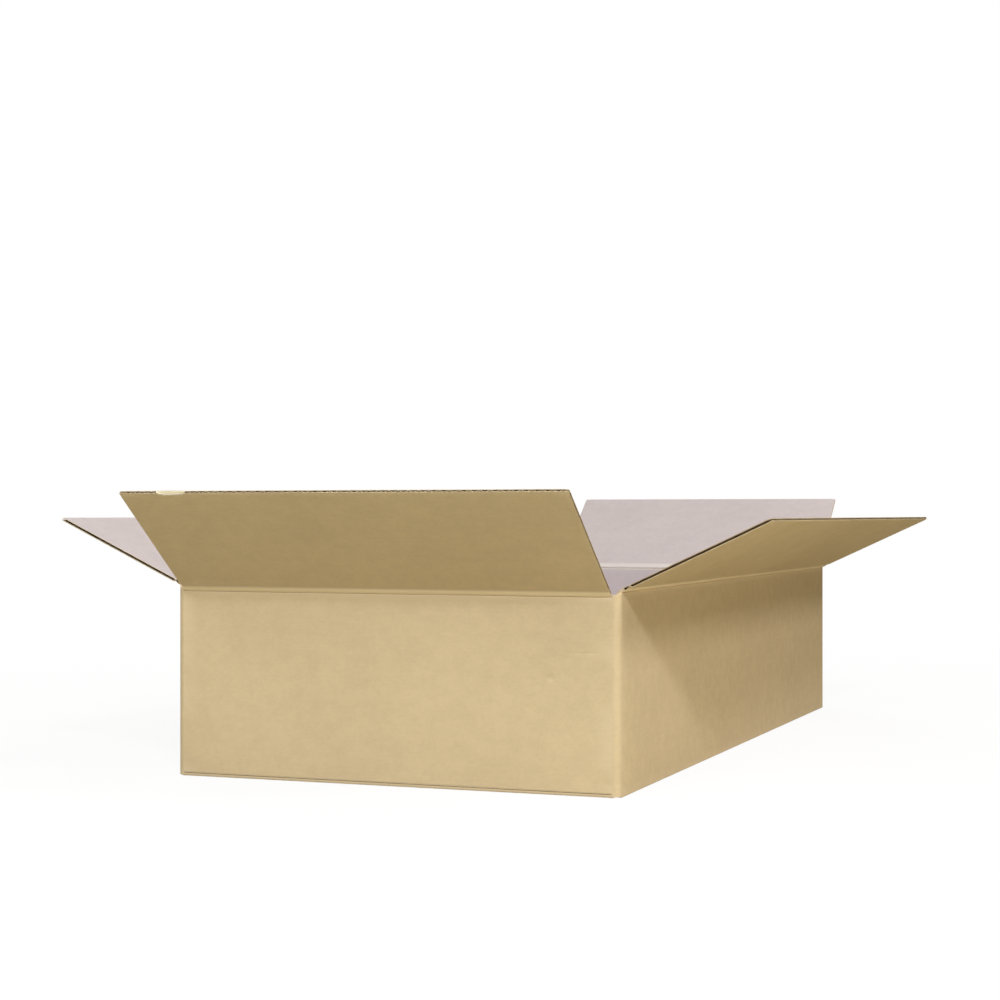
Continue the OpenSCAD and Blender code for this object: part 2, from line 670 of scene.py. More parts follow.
@dataclass
class Flap:
    """One top flap, hinged about its rounded root in the plane of the wall's face.

    Its own coordinates are across the board, from the inner face to the outer one,
    and out along the flap from the crease. They lean together about the crease.

    Attributes:
        body: CAD body that it rides on.
        side: Side of the carton that it is on.
        crease: Height of the crease.
        lean: Lean outwards from upright, in radians.
        start: Where the flap begins along the side.
        end: Where it ends.
        depth: Distance from the crease to the free edge.
        board: The board that it is made of.
        tears: Places where the outer liner is torn back: middle, half width and depth.
        pinch: How far the trimming knife rounded the inner liner over the free edge.
        pinch_reach: How far in from the free edge that rounding goes.
        score: Distance from the crease to the score line.
        score_half: Half the width of the score line.
        score_ramp: Length of the slope outside, from the score down to the root.
        score_deep: Depth of the score in the outer face.
        score_inside: Depth of the score in the inner face.
        core_set: How much further back the medium is torn than the outer liner.
        open_flute: How far in from the side edges the medium begins.
        root_wear_and_highlight: Strength and reach of the rubbing and painted highlight at the root.
        rim_wear: Strength and reach of the rubbing along the cut edges.
        corner_wear: Strength and reach of the rubbing at the free corners.
        step: Spacing of the mesh along the crease.
    """

    body: str
    side: Side
    crease: float
    lean: float
    start: float
    end: float
    depth: float
    board: Board
    tears: tuple[tuple[float, float, float], ...] = ()
    pinch: float = 0.2 * MM
    pinch_reach: float = 0.9 * MM
    score: float = 5.4 * MM
    score_half: float = 0.9 * MM
    score_ramp: float = 2.9 * MM
    score_deep: float = 0.95 * MM
    score_inside: float = 0.37 * MM
    core_set: float = 1.2 * MM
    open_flute: float = 1.2 * MM
    # Paler band at the root: partly stretched, rubbed paper, partly a painted highlight on a bend that faces
    # down into shade.
    root_wear_and_highlight: Spot = (0.95, 4.6 * MM)
    rim_wear: Spot = (0.25, 0.8 * MM)
    corner_wear: Spot = (0.40, 6.0 * MM)
    step: float = 9.0 * MM

    @property
    def radius(self) -> float:
        """Radius of the rounded root, half the board."""
        return self.board.thick / 2

    def from_side(self, along: Array) -> Array:
        """Distance from the nearer side edge."""
        return np.minimum(along - self.start, self.end - along)

    def columns(self) -> Array:
        """Places along the crease, closer together at the ends and at each tear."""
        extra = [np.linspace(mid - half, mid + half, 15) for mid, half, _ in self.tears]
        return near_edges(self.start, self.end, self.step, np.concatenate(extra) if extra else None)

    def torn(self, along: Array) -> Array:
        """How far back the outer liner is torn: a flat-topped bump with a ragged edge.

        Each tear is depth * (1 - u^6) * ragged, with u from -1 to 1 across it.
        """
        back = np.zeros_like(along)
        for mid, half, deep in self.tears:
            u = np.clip((along - mid) / half, -1.0, 1.0)
            ragged = 0.90 + 0.07 * np.sin(along / (2.3 * MM)) + 0.03 * np.sin(along / (0.71 * MM))
            back = np.maximum(back, deep * (1.0 - u**6) * ragged)
        return back

    def faces(self, out: Array, along: Array) -> tuple[Array, Array]:
        """Where the inner and the outer face lie across the board.

        Both are half the board from the middle, pressed in along every cut edge, with
        the score lines as V grooves: deep * max(0, 1 - distance / half width). Outside,
        the groove's lower slope is the long ramp to the root. The inner face also rolls
        over the free edge by pinch * exp(-(distance / reach)^2).

        Args:
            out: Distances from the crease.
            along: Positions along the crease, of the same shape.

        Returns:
            Inner and outer place across the board.
        """
        free = self.depth - out
        half = self.radius - self.board.press(free) - self.board.press(self.from_side(along))
        narrow = np.maximum(0.0, 1.0 - np.abs(out - self.score) / self.score_half)
        ramp = np.clip(1.0 - (self.score - out) / self.score_ramp, 0.0, 1.0)
        wide = np.where(out > self.score, narrow, ramp)
        whole = 1.0 - np.clip(self.torn(along) / (1.2 * MM), 0.0, 1.0)
        roll = fading(self.pinch, free, self.pinch_reach) * whole
        return -(half - self.score_inside * narrow - roll), half - self.score_deep * wide

    def place(self, across: Array, out: Array, along: Array) -> Array:
        """Leans the flap about its crease and sets it on its side of the carton.

        A point moves out by across * cos(lean) + out * sin(lean) and up by
        out * cos(lean) - across * sin(lean).
        """
        c, s = math.cos(self.lean), math.sin(self.lean)
        return self.side.place(across * c + out * s, self.crease + out * c - across * s, along)

    def rows(self) -> Array:
        """Distances from the crease, from the free edge in to the root."""
        fine = np.array([0.0, 0.45, 1.0, 1.7, 2.6, 3.8, 6.0]) * MM
        middle = np.linspace(self.depth - 6.0 * MM, self.score + 6.0 * MM, 10)
        groove = self.score + np.array([3.0, 1.6, 1.0, 0.5, 0.0, -0.5, -1.0]) * self.score_half
        ramp = self.score - np.array([0.6, 0.85, 1.0, 1.3]) * self.score_ramp
        rows = np.unique(np.round(np.concatenate([self.depth - fine, middle, groove, ramp, [0.0]]), 7))
        return rows[::-1]

    def liners(self, pile: MeshPile) -> None:
        """Both liners in one run: down the inner face, round the root, up the outer face."""
        rows, columns = self.rows(), self.columns()
        out, along = np.meshgrid(rows, columns, indexing="ij")
        inner, _ = self.faces(out, along)
        edge = self.depth - self.torn(along[0])
        back = rows[::-1]
        far = back / self.depth
        out_back = back[:, None] * np.ones_like(edge) - (self.depth - edge) * far[:, None] ** 12
        _, outer = self.faces(out_back, along[:1].repeat(len(back), axis=0))
        angle = np.radians(np.linspace(180.0, 360.0, 9))[1:-1]
        edge_half = self.radius - self.board.press(self.from_side(columns))
        root_across = np.cos(angle)[:, None] * edge_half
        root_out = np.sin(angle)[:, None] * self.radius * np.ones_like(edge_half)
        across = np.concatenate([inner, root_across, outer])
        outs = np.concatenate([out, root_out, out_back])
        wide = np.broadcast_to(columns, across.shape)
        points = self.place(across, outs, wide)
        normals = surface_normals(points)
        if (normals[-3] @ self.facing).mean() < 0:
            normals = -normals
        cells = np.full((len(across) - 1, len(columns) - 1), int(Finish.KRAFT))
        cells[: len(rows) + 3] = int(Finish.LINING)
        fold_run = np.concatenate([-rows, -rows[-1] + np.zeros(len(angle)), back])
        sheet = stack(wide + self.side.offset, (fold_run + 0.2)[:, None])
        pile.layer(points, normals, self.board.liner, cells, sheet, self.wear_and_highlight(outs, wide))

    def peeled(self, pile: MeshPile) -> None:
        """The pale torn fibres that slope through the board where the rest is torn off.

        They run from the inner liner's free edge, out = depth, back to the torn edge of
        the outer liner, with a small waviness.
        """
        for mid, half, _ in self.tears:
            columns = np.linspace(mid - half, mid + half, 41)
            share = np.linspace(0.0, 1.0, 8)
            s, along = np.meshgrid(share, columns, indexing="ij")
            back = self.torn(along) * np.clip(s * 1.25, 0.0, 1.0) ** 2
            inner, outer = self.faces(self.depth - back, along)
            low = inner + self.board.liner
            high = outer - self.board.liner - 0.35 * MM
            rough = 0.07 * MM * np.sin(along / (0.5 * MM) + 7.0 * s) * s
            ply = self.place(low + (high - low) * s, self.depth - 0.03 * MM - back + rough, along)
            way = math.sin(self.lean) * self.side.outward + math.cos(self.lean) * UP
            pile.grid(ply, Finish.PLY, stack(along + 0.9, s * 3.0 * MM), 0.9, way)

    def closed_root(self, pile: MeshPile) -> None:
        """The pressed ends of the crease, shut from the root to just above it.

        Each is a strip between the inner and the outer face, a little in from the cut.
        """
        angle = np.radians(np.linspace(-90.0, 0.0, 5))
        above = np.array([0.4, 0.8, 1.4]) * MM
        out = np.concatenate([self.radius * np.sin(angle), above])
        round_off = np.concatenate([np.cos(angle), np.ones(len(above))])
        for end, inward in ((self.start, 1.0), (self.end, -1.0)):
            along = np.full(len(out), end + inward * 0.05 * MM)
            inner, outer = self.faces(np.maximum(out, 0.0), along)
            across = stack(inner * round_off, outer * round_off)
            points = self.place(across, stack(out, out), stack(along, along))
            sheet = stack(across + end, out[:, None])
            pile.grid(points, Finish.CUT, sheet, 0.4, -self.side.along * inward)

    @property
    def facing(self) -> Array:
        """Direction that the outer face looks in."""
        return self.side.outward * math.cos(self.lean) - UP * math.sin(self.lean)

    def wear_and_highlight(self, out: Array, along: Array) -> Array:
        """Rubbing of the liner at the root, the cut edges and the free corners, with painted highlight at the
        root.

        The root's is strength * exp(-(distance / reach)^4), the others die away as
        Gaussians, and the strongest one counts.
        """
        free, side = np.maximum(self.depth - out, 0.0), self.from_side(along)
        # The root's paleness is partly painted highlight.
        strength, reach = self.root_wear_and_highlight
        root = strength * np.exp(-((out / reach) ** 4))
        rim = fading(self.rim_wear[0], np.minimum(free, side), self.rim_wear[1])
        corner = fading(self.corner_wear[0], np.hypot(free, side), self.corner_wear[1])
        return np.clip(np.maximum(np.maximum(root, rim), corner), 0.0, 1.0)

    def medium(self, pile: MeshPile) -> None:
        """The wavy medium between the liners, from the crease to the free edge.

        It stands at middle + amplitude * cos(2 pi along / pitch), where the amplitude
        is what the two liners leave between them.
        """
        board = self.board
        flutes = (self.end - self.start - 0.2 * MM) / board.pitch
        ends = (self.start + self.open_flute, self.end - self.open_flute)
        columns = np.linspace(*ends, int(flutes * board.samples))
        fine = np.array([0.12, 1.0, 2.0, 3.8, 9.0, 30.0]) * MM
        low = self.score + np.array([5.0 * MM, self.score_half, 0.0, -self.score_half])
        rows = np.concatenate([self.depth - fine, low, [0.4 * MM]])
        out, along = np.meshgrid(rows, columns, indexing="ij")
        lift = 0.10 * MM * np.sin(along / (17.0 * MM)) + 0.06 * MM * np.sin(along / (5.3 * MM))
        torn = self.torn(along)
        torn = torn + self.core_set * np.clip(torn / (0.8 * MM), 0.0, 1.0)
        share = np.clip(1.0 - (self.depth - out) / (9.0 * MM), 0.0, 1.0)
        inner, outer = self.faces(out, along)
        room = np.maximum((outer - inner) / 2 - board.liner - board.medium / 2, 0.05 * MM)
        middle = (inner + outer) / 2 + room * board.wave(along) * 0.98
        back = 0.12 * MM + share * (np.abs(lift) + torn)
        points = self.place(middle + board.medium / 2, out - back, along)
        normals = surface_normals(points)
        if (normals @ self.facing).mean() < 0:
            normals = -normals
        sheet = stack(along + self.side.offset, out + 0.4)
        pile.layer(points, normals, board.medium, Finish.MEDIUM, sheet, 0.2, Finish.MEDIUM)

    def build(self, materials: list[bpy.types.Material]) -> bpy.types.Object:
        """Makes the flap, in place of its CAD node.

        Args:
            materials: Materials in the order of Finish.

        Returns:
            The flap's object.
        """
        pile = MeshPile()
        self.liners(pile)
        self.medium(pile)
        self.closed_root(pile)
        self.peeled(pile)
        return pile.build(f"{self.body}_top_flap", f"{self.body}_flap", self.body, materials)


@dataclass
class Tub:
    """The walls, upright folds, bottom flaps and glued joint, all one folded sheet.

    Attributes:
        board: The board that it is made of.
        half_w: Half the outer width, along X.
        half_l: Half the outer length, along Y.
        long_crease: Height of the long walls' creases.
        short_crease: Height of the short walls' creases.
        sides: The four sides by name.
        corner: Outer radius of the upright folds.
        foot: Outer radius of the pressed folds at the foot.
        foot_inside: Radius inside those folds.
        fold_foot: Height of the upright folds' lower ends.
        slot_drop: How far the slots go below the short walls' top.
        slot_gap: How far the upright folds end below the creases.
        slot_sag: How far the slot's rounded bottom droops between two walls.
        glued_drop: How far the fold at the glued joint ends below the wall's top.
        crease_gap: Gap between a flap's root and the wall's edge.
        bevel: Width of the pressed bevel on the walls' top edge.
        seam: Gap between the outer bottom flaps.
        hem_set: Setback of the outer bottom flaps' ends from the short walls' faces.
        inner_depth: Depth of the inner bottom flaps.
        tab_width: Width of the glued tab.
        tab_margin: How far the tab stops short at its ends.
        tab_slope: How far the tab's ends slope in.
        glue: Thickness of the glue.
        joint_gap: Setback of the back wall's cut end.
        fold_wear: Strength and reach of the rubbing beside the upright folds.
        crease_wear_and_highlight: Strength and reach of the rubbing and painted highlight below the creases.
        foot_wear_and_highlight: Strength and reach of the rubbing and painted highlight at the foot.
        step: Spacing of the mesh along the walls.
    """

    board: Board
    half_w: float
    half_l: float
    long_crease: float
    short_crease: float
    sides: dict[str, Side]
    corner: float = 5.0 * MM
    foot: float = 0.5 * MM
    foot_inside: float = 0.5 * MM
    fold_foot: float = 0.6 * MM
    slot_drop: float = 1.0 * MM
    slot_gap: float = 0.3 * MM
    slot_sag: float = 0.5 * MM
    glued_drop: float = 0.8 * MM
    crease_gap: float = 0.06 * MM
    bevel: float = 0.56 * MM
    seam: float = 0.16 * MM
    hem_set: float = 0.12 * MM
    inner_depth: float = 149.0 * MM
    tab_width: float = 35.0 * MM
    tab_margin: float = 4.0 * MM
    tab_slope: float = 9.0 * MM
    glue: float = 0.2 * MM
    joint_gap: float = 1.5 * MM
    fold_wear: Spot = (0.35, 1.5 * MM)
    # Pale strip on the walls' top edges: partly rubbed paper, partly a painted highlight where the bevel
    # catches light.
    crease_wear_and_highlight: Spot = (0.70, 2.2 * MM)
    # Paler at the foot: partly rubbed paper, partly painted highlight over the shade line at the foot.
    foot_wear_and_highlight: Spot = (0.40, 2.5 * MM)
    step: float = 11.0 * MM

    @property
    def edge_drop(self) -> float:
        """Distance from a crease down to the wall's top edge, just under the flap's root."""
        return self.board.thick / 2 + self.crease_gap

    @property
    def long_top(self) -> float:
        """Top edge of the long walls."""
        return self.long_crease - self.edge_drop

    @property
    def short_top(self) -> float:
        """Top edge of the short walls."""
        return self.short_crease - self.edge_drop

    @property
    def fold_top(self) -> float:
        """Height up to which walls and folds share their rows."""
        return self.short_top - self.slot_drop

    @property
    def inner_level(self) -> float:
        """Underside of the short walls' bottom flaps."""
        return self.board.thick

    @property
    def wall_low(self) -> float:
        """Height from which the walls are flat on both faces."""
        return self.inner_level + self.board.thick + self.foot_inside + 0.1 * MM

    @property
    def tab_face(self) -> float:
        """Outer face of the glued tab, measured along Y."""
        return self.half_l - self.board.thick - self.glue

    def levels(self) -> Array:
        """Heights that every wall, fold and the tab share, so that they weld."""
        low, high = self.wall_low, self.fold_top
        tab_low = self.inner_level + self.board.thick + self.tab_margin
        tab_high = self.short_top - self.tab_margin
        middle = np.linspace(tab_low, tab_high, 12)
        return np.concatenate([[low], middle, [high]])

    def bow(self, up: Array, along: Array, reach: float) -> Array:
        """Gentle bow of a wall: amount * cos(pi w / 2 reach) * sin(pi z / height).

        It is nothing at the folds, the foot and the crease.
        """
        low, high = self.wall_low, self.fold_top
        tall = np.sin(math.pi * np.clip((up - low) / (high - low), 0.0, 1.0)) ** 2
        wide = np.cos(math.pi * np.clip(along / (2 * reach), -0.5, 0.5))
        twist = np.sin(math.pi * along / reach) * 0.35
        amount = 0.9 * MM if reach > 0.2 else 0.55 * MM
        return amount * tall * wide * (wide + twist)

    def wall_wear_and_highlight(self, up: Array, along: Array, high: float, reach: float) -> Array:
        """How rubbed a wall is, dying away from the folds, the crease and the foot; below the crease and at
        the foot it is partly painted highlight.
        """
        fold = fading(self.fold_wear[0], reach - np.abs(along), self.fold_wear[1])
        # Below the crease and at the foot the paleness is partly painted highlight.
        crease = fading(self.crease_wear_and_highlight[0], high - up, self.crease_wear_and_highlight[1])
        foot = fading(self.foot_wear_and_highlight[0], up, self.foot_wear_and_highlight[1])
        return np.maximum(np.maximum(fold, crease), foot)

    def skin(
        self,
        pile: MeshPile,
        side: Side,
        path: Array,
        columns: Array,
        finish: Array | int,
        reach: float,
        rims: Rim,
        origin: float,
    ) -> None:
        """Carries one liner's section along a side.

        Args:
            pile: Mesh to add to.
            side: Side of the carton.
            path: (n, 2) section, with the outside to the right of its direction.
            columns: Positions along the side.
            finish: Face of the board.
            reach: Half the straight length of the wall, for its bow.
            rims: Edges of the liner that are cut.
            origin: Pattern height at the section's first point.
        """
        out, along = np.meshgrid(path[:, 0], columns, indexing="ij")
        up = np.repeat(path[:, 1:], len(columns), 1)
        upright = np.clip((out + self.board.thick + 0.3 * MM) / (0.1 * MM), 0.0, 1.0)
        points = side.place(out + upright * self.bow(up, along, reach), up, along)
        normals = side.aim(path_normals(path), len(columns))
        sheet = stack(along + side.offset, (origin + path_length(path))[:, None])
        top = self.long_top if side.reach < self.half_l - MM else self.short_top
        wear_and_highlight = self.wall_wear_and_highlight(up, along, top, reach)
        pile.layer(points, normals, self.board.liner, finish, sheet, wear_and_highlight, rims=rims)

    def wave_band(
        self,
        pile: MeshPile,
        frame: tuple[Array, Array, Array, Array],
        rows: Array,
        columns: Array,
    ) -> None:
        """A stretch of the medium in a flat part of the sheet.

        Args:
            pile: Mesh to add to.
            frame: Origin in the board's mid-plane, flute direction, cross direction
                and board normal.
            rows: Distances along the flutes.
            columns: Distances across the flutes.
        """
        board = self.board
        room = board.thick / 2 - board.liner - board.medium / 2
        origin, flute, cross, normal = frame
        r, c = np.meshgrid(rows, columns, indexing="ij")
        height = room * board.wave(c) * 0.98 + board.medium / 2
        base = origin + r[..., None] * flute + c[..., None] * cross + height[..., None] * normal
        normals = np.broadcast_to(normal, base.shape)
        pile.layer(base, normals, board.medium, Finish.MEDIUM, stack(c + 0.7, r + 0.4), 0.2, Finish.MEDIUM)

    def wall(self, pile: MeshPile, side: Side, level: float, top: float, reach: tuple[float, float],
             depth: float, overhang: float, ends: Rim = Rim.NONE) -> None:
        """A wall, the fold at its foot and its bottom flap.

        Args:
            pile: Mesh to add to.
            side: Side of the carton.
            level: Underside of the bottom flap.
            top: Top edge of the wall.
            reach: First and last position of the straight wall along the side.
            depth: How far the bottom flap goes in from the wall's outer face.
            overhang: Half the length of an outer bottom flap, which runs on past the wall.
            ends: Upright ends of the wall that are cut instead of folded.
        """
        thick, foot = self.board.thick, self.foot
        levels = self.levels()
        count = int(round((reach[1] - reach[0]) / self.step))
        columns = np.linspace(reach[0], reach[1], count + 1)
        half = max(abs(reach[0]), abs(reach[1]))
        face = np.stack([np.zeros_like(levels), levels], axis=1)
        self.skin(pile, side, face, columns, Finish.KRAFT, half, ends, levels[0])
        rear = np.stack([np.full_like(levels, -thick), levels], axis=1)[::-1]
        self.skin(pile, side, rear, columns, Finish.LINING, half, ends, 0.5)
        bevel = self.bevel
        lip = join(
            np.array([[0.0, levels[-1]], [0.0, top - bevel]]),
            np.array([[-bevel * 0.5, top - bevel * 0.5], [-bevel, top], [-thick + 0.4 * MM, top]]),
            np.array([[-thick, top - 0.4 * MM], [-thick, levels[-1]]]),
        )
        cells = np.full((len(lip) - 1, len(columns) - 1), int(Finish.KRAFT))
        cells[3:] = int(Finish.LINING)
        self.skin(pile, side, lip, columns, cells, half, Rim.COLUMNS, levels[-1])
        neck = self.corner + 0.5 * MM
        low = join(
            np.array([[-neck, level], [-foot, level]]),
            arc((-foot, level + foot), foot, -90.0, 0.0, 7),
            np.array([[0.0, level + foot], [0.0, levels[0]]]),
        )
        start = levels[0] - path_length(low)[-1]
        self.skin(pile, side, low, columns, Finish.KRAFT, half, Rim.COLUMNS, start)
        inside = self.foot_inside
        high = join(
            np.array([[-thick, levels[0]], [-thick, level + thick + inside]]),
            arc((-thick - inside, level + thick + inside), inside, 0.0, -90.0, 5),
            np.array([[-thick - inside, level + thick], [-neck, level + thick]]),
        )
        self.skin(pile, side, high, columns, Finish.LINING, half, Rim.COLUMNS, 0.62)
        flap = reach if level > 0.0 else (-overhang, overhang)
        self.bottom_flap(pile, side, level, flap, neck, depth, start)

    def bottom_flap(self, pile: MeshPile, side: Side, level: float, reach: tuple[float, float],
                    neck: float, depth: float, start: float) -> None:
        """The flat part of a bottom flap, with its medium at the cut edges.

        Args:
            pile: Mesh to add to.
            side: Side of the carton.
            level: Underside of the flap.
            reach: First and last position along the side.
            neck: Where the flat part begins, in from the wall's outer face.
            depth: Where it ends.
            start: Pattern height at the neck.
        """
        thick = self.board.thick
        edged = near_edges(reach[0], reach[1], self.step)
        half = max(abs(reach[0]), abs(reach[1]))
        press = self.board.press(np.minimum(edged - edged[0], edged[-1] - edged))
        steps = near_edges(-depth, -neck, self.step)
        out = np.repeat(steps[:, None], len(edged), 1)
        along = np.repeat(edged[None, :], len(steps), 0)
        pressed = np.maximum(press[None, :], self.board.press(steps + depth)[:, None])
        pressed[-1] = 0.0
        sheet = np.stack([along + side.offset, start + out], axis=-1)
        wear_and_highlight = 0.35 * np.exp(-(((half - np.abs(along)) / (2.0 * MM)) ** 2))
        up = np.zeros(out.shape + (3,)) + UP
        rims = Rim.FIRST_ROW | Rim.COLUMNS
        under = side.place(out, level + pressed, along)
        above = side.place(out, level + thick - pressed, along)
        liner = self.board.liner
        pile.layer(under, -up, liner, Finish.KRAFT, sheet, wear_and_highlight, rims=rims)
        pile.layer(above, up, liner, Finish.LINING, sheet + 0.31, wear_and_highlight, rims=rims)
        rise = UP
        middle = side.outward * (side.reach - depth) + rise * (level + thick / 2)
        frame = (middle, side.outward, side.along, rise)
        wave = np.linspace(reach[0], reach[1], int((reach[1] - reach[0]) / self.board.pitch * 8))
        self.wave_band(pile, frame, np.array([0.1, 3.0, 16.0]) * MM, wave)
        long_rows = np.linspace(16.0 * MM, depth - neck, 8)
        for first, last in ((reach[0], reach[0] + 8 * MM), (reach[1] - 8 * MM, reach[1])):
            self.wave_band(pile, frame, long_rows, np.linspace(first, last, 12))
        if level > 0.0:
            return
        bulge = np.concatenate([np.linspace(-1.0, 1.0, 7), [1.12]])
        steps = np.concatenate([steps, [-self.corner + 1.4 * MM]])
        for end, sign in ((reach[0], -1.0), (reach[1], 1.0)):
            b, o = np.meshgrid(bulge, steps, indexing="ij")
            lip = end - sign * 0.35 * MM * np.maximum(-b, 0.0) ** 2
            height = level + thick / 2 + b * (thick / 2 - self.board.crush * (b < 0.0))
            hem = side.place(o, height, lip)
            away = np.zeros(hem.shape) + side.along * sign
            pile.grid(hem, Finish.KRAFT, np.stack([o + 3.1, height + lip], axis=-1), 0.25, away)

    def brim(self, turn: Array, limit: float) -> Array:
        """Upper end of a fold: short crease + (long - short) * cos(turn)^2, less a droop.

        The fold ends a gap below the creases, and the droop of sag * sin(2 turn)^2 is
        the slot's rounded bottom between the two walls.

        Args:
            turn: Angles around the fold's axis.
            limit: Height that the fold may not pass.

        Returns:
            Heights of the upper end.
        """
        rise = (self.long_crease - self.short_crease) * np.cos(turn) ** 2
        height = self.short_crease - self.slot_gap + rise - self.slot_sag * np.sin(2.0 * turn) ** 2
        return np.minimum(height, limit)

    def fold(self, pile: MeshPile, x: float, y: float, first: float, offset: float) -> None:
        """An upright fold between two walls: a quarter of a ring.

        The fold at the glued joint reaches under the left flap, so it ends below the
        wall's bevelled top edge.

        Args:
            pile: Mesh to add to.
            x: Axis of the fold along X.
            y: Axis of the fold along Y.
            first: Angle in degrees where the quarter begins.
            offset: Place of the fold on the flat sheet.
        """
        levels = np.concatenate([[self.fold_foot], self.levels(), [self.short_top, self.short_crease]])
        angles = np.radians(np.linspace(first, first + 90.0, 11))
        up, turn = np.meshgrid(levels, angles, indexing="ij")
        glued = 0.0 < y < self.half_l - self.corner - 0.1 * MM
        limit = self.long_top - self.glued_drop if glued else self.long_crease
        up[-1] = self.brim(angles, limit)
        ray = np.stack([np.cos(turn), np.sin(turn), np.zeros_like(turn)], axis=-1)
        centre = np.array([x, y, 0.0]) + up[..., None] * UP
        sheet = np.stack([(turn - angles[0]) * self.corner + offset, up], axis=-1)
        outer = centre + ray * self.corner
        inner = centre + ray * (self.corner - self.board.thick)
        pile.layer(outer, ray, self.board.liner, Finish.KRAFT, sheet, 0.0, rims=Rim.ROWS)
        pile.layer(inner, -ray, self.board.liner, Finish.LINING, sheet + 0.5, 0.4, rims=Rim.ROWS)
        heights = np.linspace(0.0, 1.0, 4)[:, None]
        radii = np.linspace(self.corner - self.board.thick, self.corner, 4)[None, :]
        for angle, sign in ((angles[0], -1.0), (angles[-1], 1.0)):
            ray = np.array([math.cos(angle), math.sin(angle), 0.0])
            away = sign * np.array([-ray[1], ray[0], 0.0])
            top = float(self.brim(np.array(angle), limit)) - 0.02 * MM
            z = self.fold_top + (top - self.fold_top) * heights
            cap = np.array([x, y, 0.0]) + radii[..., None] * ray + z[..., None] * UP
            plan = np.stack([radii + 0 * z + offset, z + 0 * radii], axis=-1)
            pile.grid(cap, Finish.CUT, plan, 0.5, away + np.zeros(cap.shape))
        share = np.linspace(0.0, 1.0, 5)[:, None, None]
        for row, rise in ((-1, 1.0), (0, -1.0)):
            ring = outer[row] + (inner[row] - outer[row]) * share
            up = np.array([0.0, 0.0, rise])
            ring = ring + 0.12 * MM * np.sin(math.pi * share) * up
            plan = ring[..., :2] + 0.7
            pile.grid(ring, Finish.CUT, plan, 0.5, up + np.zeros(ring.shape))

    def joint(self, pile: MeshPile) -> None:
        """The back wall's cut end and the tab glued behind it.

        The tab's ends slope, so its heights run between low(x) and high(x).
        """
        thick, levels = self.board.thick, self.levels()
        back = self.sides["back"]
        columns = np.array([self.half_w - self.corner, self.half_w - self.corner + 1.5 * MM,
                            self.half_w - self.joint_gap])
        face = np.stack([np.zeros_like(levels), levels], axis=1)
        rear = np.stack([np.full_like(levels, -thick), levels], axis=1)[::-1]
        rims = Rim.LAST_COLUMN | Rim.ROWS
        self.skin(pile, back, face, columns, Finish.KRAFT, self.half_w, rims, levels[0])
        self.skin(pile, back, rear, columns, Finish.LINING, self.half_w, rims, 0.5)
        up = UP
        middle = back.outward * (back.reach - thick / 2)
        wave = np.linspace(columns[0] - 3 * MM, columns[-1] - 0.1 * MM, 10)
        self.wave_band(pile, (middle, up, back.along, back.outward), levels[[0, 5, 9, 13]], wave)
        share = (levels[1:-1] - levels[1]) / (levels[-2] - levels[1])
        across = np.linspace(0.0, self.tab_width, 7)
        s, t = np.meshgrid(share, across, indexing="ij")
        slope = self.tab_slope * t / self.tab_width
        z = (levels[1] + slope) * (1 - s) + (levels[-2] - slope) * s
        x = -(self.half_w - self.corner) + t
        sheet = np.stack([t + 2.3, z], axis=-1)
        outer = np.stack([x, np.full_like(x, self.tab_face), z], axis=-1)
        inner = np.stack([x, np.full_like(x, self.tab_face - thick), z], axis=-1)
        north = np.zeros_like(outer) + NORTH
        edges = Rim.ROWS | Rim.LAST_COLUMN
        pile.layer(outer, north, self.board.liner, Finish.KRAFT, sheet, 0.1, rims=edges)
        pile.layer(inner, -north, self.board.liner, Finish.LINING, sheet + 0.5, 0.15, rims=edges)
        start = np.array([-(self.half_w - self.corner), self.tab_face - thick / 2, 0.0])
        east = EAST
        ends = (levels[1] + self.tab_slope + 0.2 * MM, levels[-2] - self.tab_slope - 0.2 * MM)
        rows = np.linspace(ends[0], ends[1], 4)
        cross = np.linspace(1 * MM, self.tab_width - 0.1 * MM, 40)
        self.wave_band(pile, (start, up, east, NORTH), rows, cross)

    def build(self, materials: list[bpy.types.Material]) -> bpy.types.Object:
        """Makes the body of the carton, in place of its CAD node.

        Args:
            materials: Materials in the order of Finish.

        Returns:
            The body's object.
        """
        pile = MeshPile()
        long_half, short_half = self.half_l - self.corner, self.half_w - self.corner
        outer_depth = self.half_w - self.seam / 2
        joint_half = self.tab_face - self.corner
        sides = self.sides
        overhang = self.half_l - self.hem_set
        for name, first in (("right", -long_half), ("left", -joint_half)):
            self.wall(pile, sides[name], 0.0, self.long_top, (first, long_half), outer_depth, overhang)
        for name in ("front", "back"):
            self.wall(pile, sides[name], self.inner_level, self.short_top, (-short_half, short_half),
                      self.inner_depth, 0.0)
        self.fold(pile, short_half, -long_half, 270.0, 0.75)
        self.fold(pile, short_half, long_half, 0.0, 1.35)
        self.fold(pile, -short_half, -long_half, 180.0, 0.45)
        self.fold(pile, -short_half, joint_half, 90.0, 2.25)
        self.joint(pile)
        return pile.build("carton_body", "box_body", "box", materials)


